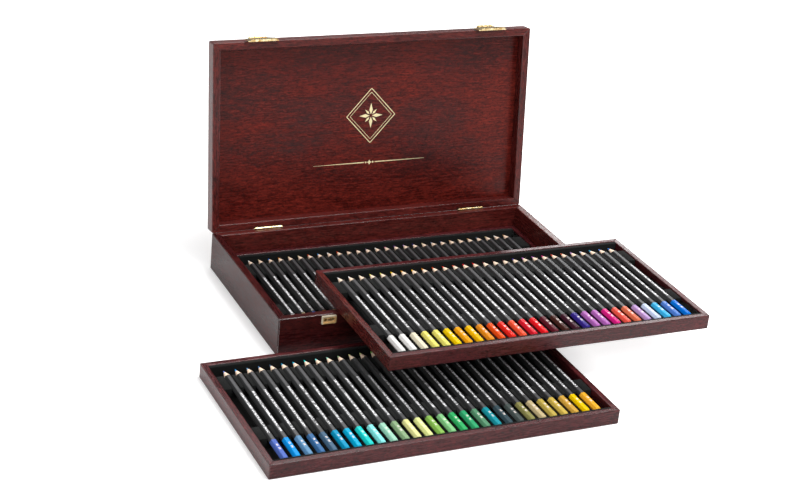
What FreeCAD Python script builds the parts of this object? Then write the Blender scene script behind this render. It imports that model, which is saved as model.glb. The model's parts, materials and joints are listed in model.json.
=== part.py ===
import FreeCAD, Part
import math
import os

import Sketcher

# Three-tray pencil case, in millimetres. The origin is the middle of the case's underside,
# +X runs to the right along the front wall, +Y to the hinges at the back, +Z up.
# The lid stands open, the lower tray lies in the case, the upper tray rests across the
# front and right walls, and the front tray lies on the table before the case.

SIZES = [
    ("case_width", 402.0, "outside width of the case"),
    ("case_depth", 222.0, "outside depth of the case"),
    ("case_height", 44.0, "height of the case walls"),
    ("case_wall", 9.0, "thickness of the case and lid walls"),
    ("floor_thick", 4.0, "thickness of the case floor"),
    ("panel_rebate", 4.5, "how far the floor and the lid panel are let into the walls"),
    ("panel_gap", 0.2, "play around a panel in its rebate"),
    ("case_corner", 2.0, "rounding of the upright outer corners"),
    ("case_edge", 0.8, "rounding of the long edges"),
    ("rear_edge", 1.1, "rounding of the rims' rear edges, which meet when the lid is open"),
    ("lid_height", 16.0, "height of the lid walls"),
    ("lid_panel_thick", 3.0, "thickness of the lid panel"),
    ("lid_gap", 0.3, "gap between the rims when the lid is closed"),
    ("lid_open_angle", 97.5, "how far the lid stands open, in degrees"),
    ("hinge_inset", 69.0, "middle of a hinge in from the side of the case"),
    ("hinge_width", 32.0, "width of a hinge"),
    ("hinge_leaf_height", 9.0, "from the hinge axis to the edge of a leaf"),
    ("hinge_leaf_thick", 1.0, "thickness of a hinge leaf"),
    ("hinge_barrel", 2.0, "outer radius of the hinge knuckles"),
    ("hinge_pin", 1.0, "radius of the hinge pin"),
    ("hinge_axis_in", 0.6, "hinge axis in front of the rear faces"),
    ("hinge_middle", 12.0, "length of the middle hinge knuckle"),
    ("hinge_screw_spread", 19.0, "between the two screws of a hinge leaf"),
    ("knuckle_gap", 0.3, "play between neighbouring knuckles"),
    ("pin_fit", 0.05, "radial play of a pin in its knuckles"),
    ("latch_inset", 56.5, "middle of a latch in from the side of the case"),
    ("latch_width", 20.0, "width of a latch plate and its knuckles"),
    ("latch_leaf_height", 9.5, "from the latch pin to the lower edge of the latch plate"),
    ("latch_leaf_thick", 1.0, "thickness of a latch plate"),
    ("latch_barrel", 1.8, "outer radius of the latch knuckles"),
    ("latch_pin", 0.8, "radius of the latch pin"),
    ("latch_axis_out", 2.2, "latch pin in front of the lid's front face"),
    ("latch_axis_up", 11.3, "latch pin above the lid's rim"),
    ("latch_middle", 10.0, "length of the lever's knuckle"),
    ("latch_screw_spread", 11.0, "between the two screws of a latch plate"),
    ("lever_thick", 1.0, "thickness of the lever"),
    ("lever_width", 37.0, "width of the lever's wide part"),
    ("lever_neck", 5.0, "length of the lever's narrow part below the pin"),
    ("lever_shoulder", 3.5, "height of the lever's sloping shoulders"),
    ("lever_reach", 11.0, "how far the lever hangs below the lid's rim"),
    ("lever_corner", 3.0, "rounding of the lever's lower corners"),
    ("lever_lip", 1.6, "how far the thumb lip stands out"),
    ("lever_window_width", 14.0, "width of the window in the lever"),
    ("lever_window_height", 4.5, "height of the window in the lever"),
    ("lever_window_up", 3.5, "window above the lever's lower edge"),
    ("catch_width", 17.0, "width of a catch on the case"),
    ("catch_height", 9.5, "height of a catch"),
    ("catch_proud", 1.6, "how far a catch stands out"),
    ("catch_drop", 1.5, "catch below the rim of the case"),
    ("catch_frame", 1.5, "width of the raised frame of a catch"),
    ("catch_plate", 0.8, "thickness of a catch inside its frame"),
    ("catch_corner", 1.2, "rounding of a catch's corners"),
    ("catch_gap", 0.3, "play between a closed lever and its catch"),
    ("catch_screw_spread", 8.0, "between the two screws of a catch"),
    ("screw_shank", 0.9, "radius of a screw's shank"),
    ("screw_head", 1.6, "radius of a screw's countersunk head"),
    ("screw_length", 8.0, "length of a screw"),
    ("screw_fit", 0.05, "radial play of a screw in its plate"),
    ("tray_gap", 0.5, "play between a tray and the case walls, on each side"),
    ("tray_height", 16.0, "height of a tray"),
    ("tray_wall", 6.4, "thickness of a tray's walls"),
    ("tray_corner", 1.2, "rounding of a tray's upright outer corners"),
    ("tray_edge", 0.5, "rounding of a tray's long edges"),
    ("tray_base_thick", 2.5, "thickness of a tray's base"),
    ("tray_rebate", 3.0, "how far a tray's base is let into its walls"),
    ("liner_floor", 1.0, "thickness of the liner's floor"),
    ("liner_front_rim", 3.2, "width of the liner's front rim"),
    ("liner_rear_rim", 5.0, "width of the liner's rear rim"),
    ("liner_drop", 0.6, "top of the liner below the top of the tray"),
    ("front_comb_start", 48.0, "front comb behind the tray's front face"),
    ("front_comb_length", 23.5, "front comb along the pencils"),
    ("rear_comb_end", 29.0, "rear comb ahead of the tray's rear face"),
    ("rear_comb_length", 27.0, "rear comb along the pencils"),
    ("comb_drop", 1.5, "top of the combs below the top of the tray"),
    ("slot_gap", 0.35, "play between a pencil and each side of its slot"),
    ("pencil_count", 28, "pencils in a tray"),
    ("row_room", 13.65, "from a tray's side wall to the axis of the first and last pencils"),
    ("lower_room_left", 21.05, "the same on the left of the lower tray"),
    ("lower_room_right", 17.05, "the same on the right of the lower tray"),
    ("pencil_flats", 7.0, "pencil across its flats"),
    ("pencil_cone", 16.8, "length of the sharpened cone, from the point to the corners"),
    ("pencil_end_round", 0.8, "bevel of the dipped end"),
    ("pencil_front", 10.0, "dipped end behind the tray's front face"),
    ("pencil_rear", 15.0, "point of a pencil ahead of the tray's rear face"),
    ("cap_thick", 1.0, "wood and paint that close the dipped end over the lead"),
    ("lead_radius", 1.4, "radius of the lead"),
    ("lead_point", 0.25, "radius of the lead's blunt point"),
    ("lead_fit", 0.03, "radial play of the lead in its bore"),
    ("upper_tray_inside", 72.0, "upper tray's rear face behind the case's front face"),
    ("upper_tray_beyond", 49.0, "upper tray's right face beyond the case's right face"),
    ("front_tray_ahead", 19.3, "front tray's rear face ahead of the case's front face"),
    ("front_tray_beyond", 92.1, "front tray's left face beyond the case's left face"),
    ("front_tray_yaw", 0.45, "how far the front tray is turned, in degrees"),
]

ACROSS_CORNERS = 2 / math.sqrt(3)    # a hexagon's corners over its flats
MITRE_SHARE = 1 - math.sqrt(0.5)     # where a mitre meets a corner's rounding, over its radius
BEYOND = 1.0                         # how far a cut runs past the solid it cuts
SAME = 1e-6                          # two places closer than this are the same
KNOB_LENGTH = 1.6                    # the domed end of a pin, over the pin's radius
KNOB_RADIUS = 1.28
DOME_SHARE = 0.6                     # where the dome of a knob begins, over its length
X_AXIS = FreeCAD.Vector(1, 0, 0)
Y_AXIS = FreeCAD.Vector(0, 1, 0)
Z_AXIS = FreeCAD.Vector(0, 0, 1)
SIDES = ["front", "back", "left", "right"]
HANDS = {"left": -1, "right": 1}


# ---- sizes that know the cells they come from

class Size:
    """A number together with the spreadsheet formula that gives it."""

    def __init__(self, value, formula):
        self.value = value
        self.formula = formula

    def __add__(self, other):
        other = as_size(other)
        return Size(self.value + other.value, f"({self.formula} + {other.formula})")

    def __sub__(self, other):
        other = as_size(other)
        return Size(self.value - other.value, f"({self.formula} - {other.formula})")

    def __mul__(self, other):
        other = as_size(other)
        return Size(self.value * other.value, f"({self.formula} * {other.formula})")

    def __truediv__(self, other):
        other = as_size(other)
        return Size(self.value / other.value, f"({self.formula} / {other.formula})")

    def __neg__(self):
        return Size(-self.value, f"(0 - {self.formula})")


def as_size(number):
    if isinstance(number, Size):
        return number
    return Size(float(number), f"({float(number)})")


class Sizes:
    """The driving dimensions, each an attribute named like its cell."""

    def __init__(self, sheet):
        for name, _, _ in SIZES:
            setattr(self, name, Size(float(sheet.get(name)), f"{sheet.Name}.{name}"))


def make_sheet(doc):
    sheet = doc.addObject("Spreadsheet::Sheet", "Sizes")
    for row, (name, value, meaning) in enumerate(SIZES, start=1):
        sheet.set(f"A{row}", name)
        sheet.set(f"B{row}", str(value))
        sheet.set(f"C{row}", meaning)
        sheet.setAlias(f"B{row}", name)
    doc.recompute()
    return sheet


# ---- FreeCAD helpers

def origin_part(body, role):
    return [item for item in body.Origin.OriginFeatures if item.Role == role][0]


def make_body(doc, label):
    body = doc.addObject("PartDesign::Body", label)
    body.Label = label
    return body


def make_sketch(body, plane, lift=None):
    """An empty sketch on one of the body's origin planes, lifted along its normal."""
    sketch = body.newObject("Sketcher::SketchObject", f"{body.Name}_sketch")
    sketch.AttachmentSupport = [(origin_part(body, plane), "")]
    sketch.MapMode = "FlatFace"
    if lift is not None:
        sketch.setExpression("AttachmentOffset.Base.z", as_size(lift).formula)
    return sketch


def bind(sketch, constraint, size):
    index = sketch.addConstraint(constraint)
    sketch.setExpression(f"Constraints[{index}]", size.formula)


def draw_outline(sketch, points, arcs=None):
    """A closed outline. arcs gives, by the index of its first point, the radius of each side
    that is an anticlockwise quarter or eighth of a circle instead of a straight line."""
    arcs = arcs or {}
    points = [(as_size(u), as_size(v)) for u, v in points]
    first = sketch.GeometryCount
    count = len(points)
    for index, (u, v) in enumerate(points):
        end_u, end_v = points[(index + 1) % count]
        start = FreeCAD.Vector(u.value, v.value, 0)
        end = FreeCAD.Vector(end_u.value, end_v.value, 0)
        if index in arcs:
            sketch.addGeometry(arc_between(start, end, arcs[index].value))
        else:
            sketch.addGeometry(Part.LineSegment(start, end))
    for index in range(count):
        following = first + (index + 1) % count
        sketch.addConstraint(Sketcher.Constraint("Coincident", first + index, 2, following, 1))
    for index, (u, v) in enumerate(points):
        side = first + index
        bind(sketch, Sketcher.Constraint("DistanceX", -1, 1, side, 1, u.value), u)
        bind(sketch, Sketcher.Constraint("DistanceY", -1, 1, side, 1, v.value), v)
    for index, radius in arcs.items():
        bind(sketch, Sketcher.Constraint("Radius", first + index, radius.value), radius)


def arc_between(start, end, radius):
    """The short anticlockwise arc from start to end."""
    chord = end - start
    half = chord.Length / 2
    inward = FreeCAD.Vector(-chord.y, chord.x, 0).normalize()
    centre = start + chord / 2 + inward * math.sqrt(radius ** 2 - half ** 2)
    first = math.atan2(start.y - centre.y, start.x - centre.x)
    last = math.atan2(end.y - centre.y, end.x - centre.x)
    return Part.ArcOfCircle(Part.Circle(centre, Z_AXIS, radius), first, last)


def draw_rectangle(sketch, low_u, low_v, high_u, high_v):
    draw_outline(sketch, [(low_u, low_v), (high_u, low_v), (high_u, high_v), (low_u, high_v)])


def draw_circle(sketch, u, v, radius):
    u, v = as_size(u), as_size(v)
    circle = Part.Circle(FreeCAD.Vector(u.value, v.value, 0), Z_AXIS, radius.value)
    index = sketch.addGeometry(circle)
    bind(sketch, Sketcher.Constraint("DistanceX", -1, 1, index, 3, u.value), u)
    bind(sketch, Sketcher.Constraint("DistanceY", -1, 1, index, 3, v.value), v)
    bind(sketch, Sketcher.Constraint("Radius", index, radius.value), radius)


def pad(body, sketch, length, both_ways=False, backwards=False):
    feature = body.newObject("PartDesign::Pad", f"{body.Name}_pad")
    feature.Profile = sketch
    feature.setExpression("Length", length.formula)
    feature.Midplane = both_ways
    feature.Reversed = backwards
    return feature


def pocket(body, sketch, depth=None, backwards=False):
    """A cut of the given depth, or right through on both sides of the sketch."""
    feature = body.newObject("PartDesign::Pocket", f"{body.Name}_pocket")
    feature.Profile = sketch
    if depth is None:
        feature.Type = "ThroughAll"
        feature.Midplane = True
    else:
        feature.setExpression("Length", depth.formula)
        feature.Reversed = backwards
    return feature


def turn(body, kind, sketch, axis):
    """A Revolution or a Groove, all the way round an origin axis."""
    feature = body.newObject(f"PartDesign::{kind}", f"{body.Name}_{kind.lower()}")
    feature.Profile = sketch
    feature.ReferenceAxis = (origin_part(body, axis), [""])
    feature.Angle = 360
    return feature


def soften(doc, body, kind, base, size, wanted):
    """A Fillet or Chamfer on the base feature's edges that wanted() picks by their middle."""
    doc.recompute()
    names = []
    for number, edge in enumerate(base.Shape.Edges, start=1):
        middle = edge.valueAt((edge.FirstParameter + edge.LastParameter) / 2)
        if wanted(edge, middle):
            names.append(f"Edge{number}")
    feature = body.newObject(f"PartDesign::{kind}", f"{body.Name}_{kind.lower()}")
    feature.Base = (base, names)
    feature.setExpression("Radius" if kind == "Fillet" else "Size", size.formula)
    return feature


def repeat(body, feature, axis, length, count):
    pattern = body.newObject("PartDesign::LinearPattern", f"{body.Name}_pattern")
    pattern.Originals = [feature]
    pattern.Direction = (origin_part(body, axis), [""])
    pattern.setExpression("Length", length.formula)
    pattern.setExpression("Occurrences", count.formula)
    body.Tip = pattern
    return pattern


def place(item, place_formula):
    item.setExpression("Placement", place_formula)


def placement_formula(x, y, z, axis="0; 0; 1", angle=None):
    x, y, z = as_size(x), as_size(y), as_size(z)
    angle = as_size(0) if angle is None else angle
    shift = f"vector({x.formula}; {y.formula}; {z.formula})"
    return f"placement({shift}; rotation(vector({axis}); {angle.formula}))"


def moved(x=0.0, y=0.0, z=0.0, axis=Z_AXIS, angle=0.0):
    return FreeCAD.Placement(FreeCAD.Vector(x, y, z), FreeCAD.Rotation(axis, angle))


def copies(doc, label, master, places, placement=None):
    """One sub-part made of equal solids: the master's shape, set at each of the places."""
    solids = []
    for spot in places:
        solid = master.Shape.copy()
        solid.Placement = spot
        solids.append(solid)
    group = doc.addObject("Part::Feature", label)
    group.Label = label
    group.Shape = Part.makeCompound(solids)
    group.Placement = placement or FreeCAD.Placement()
    return group


# ---- mitred frames, shared by the case, the lid and the trays

class Frame:
    """The sizes of a rectangular frame with a panel let into its lower or upper edge."""

    def __init__(self, width, depth, wall, height, corner, edge, panel, rebate, panel_gap,
                 panel_on_top=False, middle_y=0, bottom=0, rear_edge=None):
        self.width = width
        self.depth = depth
        self.wall = wall
        self.height = height
        self.corner = corner
        self.edge = edge
        self.rear_edge = rear_edge or edge
        self.panel = panel
        self.rebate = rebate
        self.panel_gap = panel_gap
        self.panel_on_top = panel_on_top
        self.middle_y = as_size(middle_y)
        self.bottom = as_size(bottom)

    def inner_width(self):
        return self.width - self.wall * 2

    def inner_depth(self):
        return self.depth - self.wall * 2

    def rim(self):
        """The level of the open edge, away from the panel."""
        return self.bottom if self.panel_on_top else self.bottom + self.height


def along_and_out(side, frame, point):
    """A point of a rail, as its place along the rail and its distance from the middle."""
    y = point.y - frame.middle_y.value
    return {
        "front": (point.x, -y),
        "back": (-point.x, y),
        "left": (-y, -point.x),
        "right": (y, point.x),
    }[side]


def from_along_and_out(side, frame, along, out):
    return {
        "front": (along, frame.middle_y - out),
        "back": (-along, frame.middle_y + out),
        "left": (-out, frame.middle_y - along),
        "right": (out, frame.middle_y + along),
    }[side]


def rail(doc, label, side, frame):
    """One wall of a frame: mitred ends, rounded outer corner and long edges, panel rebate."""
    body = make_body(doc, label)
    long_way = side in ("front", "back")
    half_length = (frame.width if long_way else frame.depth) / 2
    reach = (frame.depth if long_way else frame.width) / 2
    bevel = frame.corner * MITRE_SHARE
    ends = [
        (-half_length + frame.wall, reach - frame.wall),
        (-half_length + bevel, reach - bevel),
        (-half_length + frame.corner, reach),
        (half_length - frame.corner, reach),
        (half_length - bevel, reach - bevel),
        (half_length - frame.wall, reach - frame.wall),
    ]
    outline = [from_along_and_out(side, frame, along, out) for along, out in ends]
    plan = make_sketch(body, "XY_Plane", frame.bottom)
    draw_outline(plan, outline, {1: frame.corner, 3: frame.corner})
    block = pad(body, plan, frame.height)

    low = frame.bottom.value
    high = low + frame.height.value
    rim = frame.rim().value

    def is_rear_edge(_, middle):
        out = along_and_out(side, frame, middle)[1]
        outer = out > reach.value - bevel.value + SAME
        return side == "back" and outer and abs(middle.z - rim) < SAME

    def is_long_edge(edge, middle):
        along, out = along_and_out(side, frame, middle)
        level = min(abs(middle.z - low), abs(middle.z - high)) < SAME
        outer = out > reach.value - bevel.value + SAME
        inner = abs(along) < SAME and abs(middle.z - rim) < SAME
        return level and (outer or inner) and not is_rear_edge(edge, middle)

    rounded = soften(doc, body, "Fillet", block, frame.edge, is_long_edge)
    if side == "back":
        soften(doc, body, "Fillet", rounded, frame.rear_edge, is_rear_edge)
    half_x = frame.inner_width() / 2 + frame.rebate
    half_y = frame.inner_depth() / 2 + frame.rebate
    start = frame.bottom + frame.height if frame.panel_on_top else frame.bottom
    rebate = make_sketch(body, "XY_Plane", start)
    draw_rectangle(rebate, -half_x, frame.middle_y - half_y, half_x, frame.middle_y + half_y)
    pocket(body, rebate, frame.panel, backwards=not frame.panel_on_top)
    return body


def panel(doc, label, frame):
    """The panel that lies in a frame's rebate, flush with the frame's edge."""
    body = make_body(doc, label)
    half_x = frame.inner_width() / 2 + frame.rebate - frame.panel_gap
    half_y = frame.inner_depth() / 2 + frame.rebate - frame.panel_gap
    start = frame.bottom
    if frame.panel_on_top:
        start = frame.bottom + frame.height - frame.panel
    plan = make_sketch(body, "XY_Plane", start)
    draw_rectangle(plan, -half_x, frame.middle_y - half_y, half_x, frame.middle_y + half_y)
    pad(body, plan, frame.panel)
    return body


# ---- the case and its lid

def case_frame(s):
    return Frame(s.case_width, s.case_depth, s.case_wall, s.case_height, s.case_corner,
                 s.case_edge, s.floor_thick, s.panel_rebate, s.panel_gap,
                 rear_edge=s.rear_edge)


def lid_frame(s):
    """The lid's frame, drawn closed, with the hinge axis as its X axis."""
    middle = s.hinge_axis_in - s.case_depth / 2
    return Frame(s.case_width, s.case_depth, s.case_wall, s.lid_height, s.case_corner,
                 s.case_edge, s.lid_panel_thick, s.panel_rebate, s.panel_gap,
                 panel_on_top=True, middle_y=middle, bottom=s.lid_gap / 2,
                 rear_edge=s.rear_edge)


def hinge_axis(s):
    return s.case_depth / 2 - s.hinge_axis_in, s.case_height + s.lid_gap / 2


def lid_formula(s):
    axis_y, axis_z = hinge_axis(s)
    return placement_formula(0, axis_y, axis_z, "1; 0; 0", -s.lid_open_angle)


def lid_place(s):
    axis_y, axis_z = hinge_axis(s)
    return moved(0, axis_y.value, axis_z.value, X_AXIS, -s.lid_open_angle.value)


def cut_hinge_seats(body, s, frame):
    """Seats for the hinge knuckles, in the rim of a back rail."""
    seats = make_sketch(body, "XY_Plane", frame.rim())
    half = s.hinge_width / 2 + s.hinge_pin * KNOB_LENGTH + s.knuckle_gap
    rear = frame.middle_y + frame.depth / 2
    front = rear - s.hinge_axis_in - s.hinge_barrel - s.knuckle_gap
    for hand in HANDS.values():
        middle = (s.case_width / 2 - s.hinge_inset) * hand
        draw_rectangle(seats, middle - half, front, middle + half, rear + BEYOND)
    pocket(body, seats, s.hinge_barrel + s.knuckle_gap, backwards=frame.panel_on_top)


def make_rails(doc, name, s, frame):
    """The four walls of the case or of the lid, the back one with its hinge seats."""
    rails = {side: rail(doc, f"{name}_{side}", side, frame) for side in SIDES}
    cut_hinge_seats(rails["back"], s, frame)
    return list(rails.values())


def make_case(doc, s):
    frame = case_frame(s)
    nodes = make_rails(doc, "case", s, frame)
    nodes.append(panel(doc, "case_floor", frame))
    return nodes


def make_lid(doc, s):
    frame = lid_frame(s)
    nodes = make_rails(doc, "lid", s, frame)
    nodes.append(panel(doc, "lid_panel", frame))
    for node in nodes:
        place(node, lid_formula(s))
    return nodes


# ---- brass plates that turn on a pin: their axis is the local X axis, the plate hangs
# below it on the side of the wood (-Y)

class Plate:
    """The sizes of a plate with rolled knuckles."""

    def __init__(self, width, height, thick, barrel, pin, back, middle, screw_spread):
        self.width = width
        self.height = height
        self.thick = thick
        self.barrel = barrel
        self.pin = pin
        self.back = back
        self.middle = middle
        self.screw_spread = screw_spread


def hinge_plate(s):
    return Plate(s.hinge_width, s.hinge_leaf_height, s.hinge_leaf_thick, s.hinge_barrel,
                 s.hinge_pin, -s.hinge_axis_in, s.hinge_middle, s.hinge_screw_spread)


def latch_plate(s):
    return Plate(s.latch_width, s.latch_leaf_height, s.latch_leaf_thick, s.latch_barrel,
                 s.latch_pin, s.latch_axis_out, s.latch_middle, s.latch_screw_spread)


def screw_level(s, plate):
    """Where the screws sit, midway between the knuckles and the plate's free edge."""
    return -(plate.height + plate.barrel + s.knuckle_gap) / 2


def knuckle_plate(doc, label, s, plate, outer_knuckles):
    """A screwed plate with the two outer knuckles, or with the middle one."""
    body = make_body(doc, label)
    inside = -plate.back
    outside = inside + plate.thick
    profile = make_sketch(body, "YZ_Plane")
    draw_rectangle(profile, inside, -plate.height, outside, 0)
    pad(body, profile, plate.width, both_ways=True)
    roll = make_sketch(body, "YZ_Plane")
    draw_circle(roll, 0, 0, plate.barrel)
    pad(body, roll, plate.width, both_ways=True)

    low = -(plate.barrel + s.knuckle_gap)
    high = plate.barrel + BEYOND
    notch = make_sketch(body, "XZ_Plane")
    if outer_knuckles:
        half = plate.middle / 2 + s.knuckle_gap
        draw_rectangle(notch, -half, low, half, high)
    else:
        start = plate.middle / 2
        end = plate.width / 2 + BEYOND
        draw_rectangle(notch, start, low, end, high)
        draw_rectangle(notch, -end, low, -start, high)
    pocket(body, notch)
    bore = make_sketch(body, "YZ_Plane")
    draw_circle(bore, 0, 0, plate.pin + s.pin_fit)
    pocket(body, bore)

    level = screw_level(s, plate)
    hole = s.screw_shank + s.screw_fit
    holes = make_sketch(body, "XZ_Plane")
    for hand in HANDS.values():
        draw_circle(holes, plate.screw_spread / 2 * hand, level, hole)
    drilled = pocket(body, holes)

    def is_hole_rim(edge, _):
        centre = edge.BoundBox.Center
        on_face = abs(centre.y - outside.value) < SAME and edge.BoundBox.YLength < SAME
        return on_face and abs(edge.BoundBox.XLength - 2 * hole.value) < SAME

    soften(doc, body, "Chamfer", drilled, s.screw_head - s.screw_shank, is_hole_rim)
    return body


def pin_master(doc, label, radius, length):
    """A pin along X with a small domed knob at each end."""
    body = make_body(doc, label)
    half = length / 2
    knob = radius * KNOB_LENGTH
    knob_radius = radius * KNOB_RADIUS
    profile = make_sketch(body, "XY_Plane")
    points = [
        (-half - knob, 0),
        (half + knob, 0),
        (half + knob * DOME_SHARE, knob_radius),
        (half, knob_radius),
        (half, radius),
        (-half, radius),
        (-half, knob_radius),
        (-half - knob * DOME_SHARE, knob_radius),
    ]
    draw_outline(profile, points)
    turn(body, "Revolution", profile, "X_Axis")
    return body


def screw_master(doc, s):
    """A countersunk wood screw along Y, its head's face at y = 0 and its point at -Y."""
    body = make_body(doc, "screw_master")
    cone = s.screw_head - s.screw_shank
    point = s.screw_shank * 2
    profile = make_sketch(body, "YZ_Plane")
    points = [
        (-s.screw_length, 0),
        (0, 0),
        (0, s.screw_head),
        (-cone, s.screw_shank),
        (-s.screw_length + point, s.screw_shank),
    ]
    draw_outline(profile, points)
    turn(body, "Revolution", profile, "Y_Axis")
    return body


def screw_spots(s, plate):
    outside = (plate.thick - plate.back).value
    level = screw_level(s, plate).value
    half = plate.screw_spread.value / 2
    return [moved(hand * half, outside, level) for hand in HANDS.values()]


def make_hinges(doc, s, screw):
    """Two butt hinges on the rear faces, with three knuckles each."""
    plate = hinge_plate(s)
    axis_y, axis_z = hinge_axis(s)
    half = (s.case_width / 2 - s.hinge_inset).value
    on_case = [moved(hand * half, axis_y.value, axis_z.value) for hand in HANDS.values()]
    over = moved(axis=Y_AXIS, angle=180)
    on_lid = [moved(hand * half) * over for hand in HANDS.values()]
    case_leaf = knuckle_plate(doc, "case_leaf_master", s, plate, True)
    lid_leaf = knuckle_plate(doc, "lid_leaf_master", s, plate, False)
    pin = pin_master(doc, "hinge_pin_master", s.hinge_pin, s.hinge_width)
    doc.recompute()
    screws = screw_spots(s, plate)
    return [
        copies(doc, "hinge_leaves_case", case_leaf, on_case),
        copies(doc, "hinge_pins", pin, on_case),
        copies(doc, "hinge_screws_case", screw, [a * b for a in on_case for b in screws]),
        copies(doc, "hinge_leaves_lid", lid_leaf, on_lid, lid_place(s)),
        copies(doc, "hinge_screws_lid", screw, [a * b for a in on_lid for b in screws],
               lid_place(s)),
    ]


# ---- latches on the lid and catches on the case

def latch_axis(s):
    """The latch pins in the lid's own coordinates."""
    front = s.hinge_axis_in - s.case_depth
    return front - s.latch_axis_out, s.lid_gap / 2 + s.latch_axis_up


def lever(doc, label, s, hand):
    """The swinging hasp: a knuckle, a narrow neck and a wide plate with a thumb lip."""
    body = make_body(doc, label)
    inner = s.latch_axis_out - s.catch_proud - s.catch_gap
    outer = inner - s.lever_thick
    foot = -(s.latch_axis_up + s.lever_reach)
    neck_top = -(s.latch_barrel + s.knuckle_gap)
    shoulder = -s.lever_neck
    wide = shoulder - s.lever_shoulder
    half_knuckle = s.latch_middle / 2
    half_neck = s.latch_width / 2
    half_width = s.lever_width / 2
    corner = s.lever_corner
    outline = [
        (-half_knuckle, 0),
        (-half_knuckle, neck_top),
        (-half_neck, neck_top),
        (-half_neck, shoulder),
        (-half_width, wide),
        (-half_width, foot + corner),
        (-half_width + corner, foot),
        (half_width - corner, foot),
        (half_width, foot + corner),
        (half_width, wide),
        (half_neck, shoulder),
        (half_neck, neck_top),
        (half_knuckle, neck_top),
        (half_knuckle, 0),
    ]
    front_view = make_sketch(body, "XZ_Plane", -inner)
    draw_outline(front_view, outline, {5: corner, 7: corner})
    pad(body, front_view, s.lever_thick)
    roll = make_sketch(body, "YZ_Plane")
    draw_circle(roll, 0, 0, s.latch_barrel)
    pad(body, roll, s.latch_middle, both_ways=True)
    lip = make_sketch(body, "YZ_Plane")
    draw_rectangle(lip, outer - s.lever_lip, foot, inner, foot + s.lever_thick)
    pad(body, lip, (half_width - corner) * 2, both_ways=True)

    window = make_sketch(body, "XZ_Plane")
    half_window = s.lever_window_width / 2
    low = foot + s.lever_window_up
    draw_rectangle(window, -half_window, low, half_window, low + s.lever_window_height)
    pocket(body, window)
    bore = make_sketch(body, "YZ_Plane")
    draw_circle(bore, 0, 0, s.latch_pin + s.pin_fit)
    pocket(body, bore)
    axis_y, axis_z = latch_axis(s)
    spot = placement_formula((s.case_width / 2 - s.latch_inset) * hand, axis_y, axis_z)
    place(body, f"{lid_formula(s)} * {spot}")
    return body


def catch_master(doc, s):
    """The strike on the case: a plate with a raised frame, its back at y = 0, its top at 0."""
    body = make_body(doc, "catch_master")
    half = s.catch_width / 2
    front_view = make_sketch(body, "XZ_Plane")
    draw_rectangle(front_view, -half, -s.catch_height, half, 0)
    block = pad(body, front_view, s.catch_proud)

    def is_corner(edge, _):
        return edge.BoundBox.XLength < SAME and edge.BoundBox.ZLength < SAME

    soften(doc, body, "Fillet", block, s.catch_corner, is_corner)
    recess = make_sketch(body, "XZ_Plane", s.catch_proud)
    inner = half - s.catch_frame
    draw_rectangle(recess, -inner, -s.catch_height + s.catch_frame, inner, -s.catch_frame)
    pocket(body, recess, s.catch_proud - s.catch_plate)
    hole = s.screw_shank + s.screw_fit
    holes = make_sketch(body, "XZ_Plane")
    for hand in HANDS.values():
        draw_circle(holes, s.catch_screw_spread / 2 * hand, -s.catch_height / 2, hole)
    drilled = pocket(body, holes)

    def is_hole_rim(edge, _):
        centre = edge.BoundBox.Center
        on_face = abs(centre.y + s.catch_plate.value) < SAME and edge.BoundBox.YLength < SAME
        return on_face and abs(edge.BoundBox.XLength - 2 * hole.value) < SAME

    soften(doc, body, "Chamfer", drilled, s.screw_head - s.screw_shank, is_hole_rim)
    return body


def make_latches(doc, s, screw):
    plate = latch_plate(s)
    axis_y, axis_z = latch_axis(s)
    half = (s.case_width / 2 - s.latch_inset).value
    about = moved(axis=Z_AXIS, angle=180)
    on_lid = [moved(hand * half, axis_y.value, axis_z.value) for hand in HANDS.values()]
    faced = [spot * about for spot in on_lid]
    base = knuckle_plate(doc, "latch_plate_master", s, plate, True)
    pin = pin_master(doc, "latch_pin_master", s.latch_pin, s.latch_width)
    strike = catch_master(doc, s)
    doc.recompute()
    screws = screw_spots(s, plate)
    top = (s.case_height - s.catch_drop).value
    on_case = [moved(hand * half, -s.case_depth.value / 2, top) for hand in HANDS.values()]
    strike_screws = [
        moved(hand * s.catch_screw_spread.value / 2, -s.catch_plate.value,
              -s.catch_height.value / 2) * about
        for hand in HANDS.values()
    ]
    nodes = [lever(doc, f"latch_lever_{name}", s, hand) for name, hand in HANDS.items()]
    return nodes + [
        copies(doc, "latch_plates", base, faced, lid_place(s)),
        copies(doc, "latch_pins", pin, on_lid, lid_place(s)),
        copies(doc, "latch_screws", screw, [a * b for a in faced for b in screws],
               lid_place(s)),
        copies(doc, "catches", strike, on_case),
        copies(doc, "catch_screws", screw, [a * b for a in on_case for b in strike_screws]),
    ]


# ---- pencils

def corner_radius(s):
    return s.pencil_flats * (ACROSS_CORNERS / 2)


def pencil_length(s):
    """A pencil fills its tray but for the room at its two ends."""
    return tray_frame(s).depth - s.pencil_front - s.pencil_rear


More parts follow.
